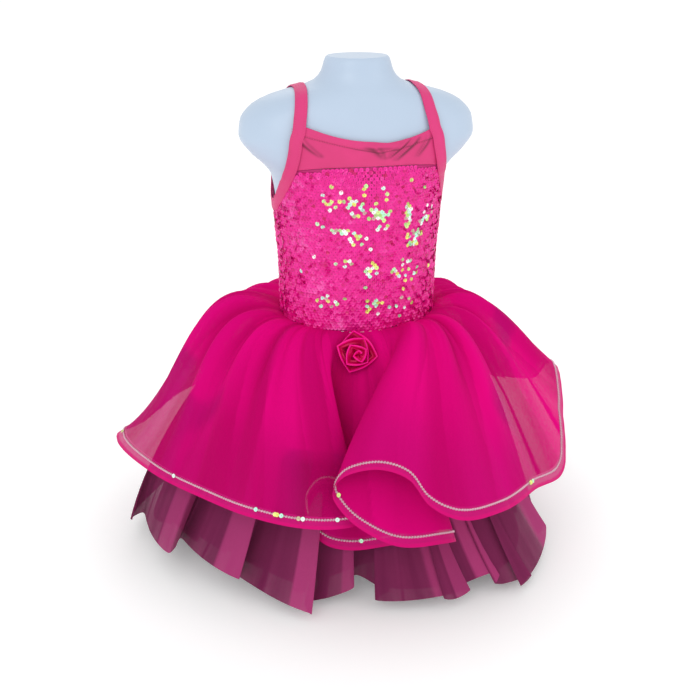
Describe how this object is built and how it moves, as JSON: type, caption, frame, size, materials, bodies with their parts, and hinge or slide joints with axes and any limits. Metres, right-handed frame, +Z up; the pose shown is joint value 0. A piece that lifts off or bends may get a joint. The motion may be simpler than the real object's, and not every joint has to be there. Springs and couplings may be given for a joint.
{
  "type": "sequin dance dress on a dress form",
  "caption": "Child's sleeveless dance dress with a sequin bodice, a wavy gathered net skirt over longer net layers and a ribbon rose, standing on a limbless dress form.",
  "frame": {"origin": "centre of the dress form's flat base", "axes": "+Z up along the body, -Y towards the front of the dress, +X towards the wearer's left"},
  "size_m": [0.6389, 0.6074, 0.68],
  "materials": {
    "dress_form": "smooth satin moulded plastic",
    "sequin_cloth": "stretch mesh covered with round sequins",
    "spandex": "smooth stretch knit with a low sheen",
    "overskirt_net": "sheer soft net",
    "braid": "stiff glossy open braid",
    "underskirt_net": "sheer matte net",
    "satin": "glossy satin ribbon"
  },
  "bodies": {
    "root": {"dress_form": "dress_form", "bodice_front": "sequin_cloth", "yoke_front": "spandex", "bodice_back": "spandex", "strap_left": "spandex", "strap_right": "spandex", "overskirt": "overskirt_net", "hem_braid": "braid", "underskirt": "underskirt_net", "petticoat": "underskirt_net", "rosette": "satin"}
  },
  "joints": []
}
